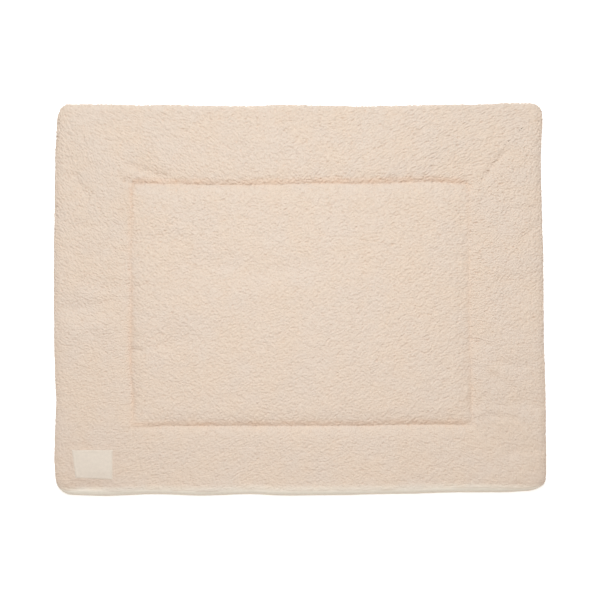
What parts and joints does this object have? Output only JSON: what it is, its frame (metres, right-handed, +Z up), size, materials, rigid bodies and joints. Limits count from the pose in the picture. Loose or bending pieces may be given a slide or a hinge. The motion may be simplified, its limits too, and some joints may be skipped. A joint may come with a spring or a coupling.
{
  "type": "playpen mat",
  "caption": "Rectangular padded playpen mat with a looped-pile front, a plain cloth back and a quilted middle panel inside a wide padded border.",
  "frame": {"origin": "centre of the mat's outline in plan, on the surface that it lies on", "axes": "+X along the mat to its right side, +Y across it to its back edge, +Z up out of the pile"},
  "size_m": [1.007, 0.803, 0.0254],
  "materials": {
    "pile_cloth": "warm sand, short curly pile, matt",
    "back_cotton": "cream plain-woven cotton, matt",
    "label_cotton": "cream cotton tape, bare"
  },
  "bodies": {
    "root": {"padded_mat": "pile_cloth", "back_cloth": "back_cotton", "label": "label_cotton"}
  },
  "joints": []
}
